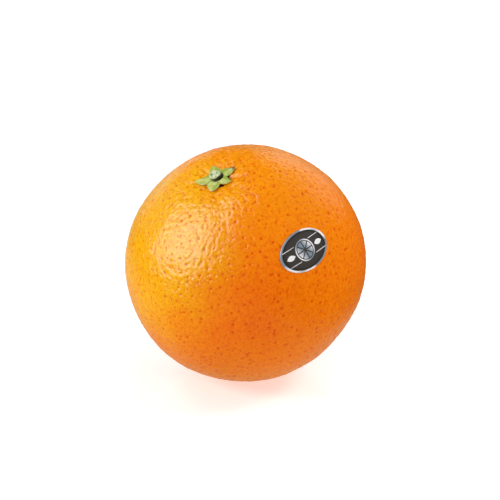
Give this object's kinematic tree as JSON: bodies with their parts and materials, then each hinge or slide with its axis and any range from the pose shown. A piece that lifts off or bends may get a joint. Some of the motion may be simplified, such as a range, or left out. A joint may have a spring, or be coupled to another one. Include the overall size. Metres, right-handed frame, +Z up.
{
  "type": "whole orange",
  "caption": "Whole ripe orange with a green star-shaped calyx at its stem end and an oval label on its side, lying on a small flat spot.",
  "frame": {"origin": "centre of the bounding box's underside, on the flat spot that the orange lies on", "axes": "+Z up, -Y towards the side with the label, so that the stem end leans 26 degrees from upright towards -Y and a little towards -X"},
  "size_m": [0.0798, 0.0796, 0.0773],
  "materials": {
    "peel": "waxy citrus peel, pitted with oil glands, with a soft broad sheen",
    "calyx": "fresh green sepals with a pale cut stalk, matt",
    "label": "charcoal printed foil paper with a silver rim, semi-gloss"
  },
  "bodies": {
    "root": {"orange": "peel", "calyx": "calyx", "label": "label"}
  },
  "joints": []
}
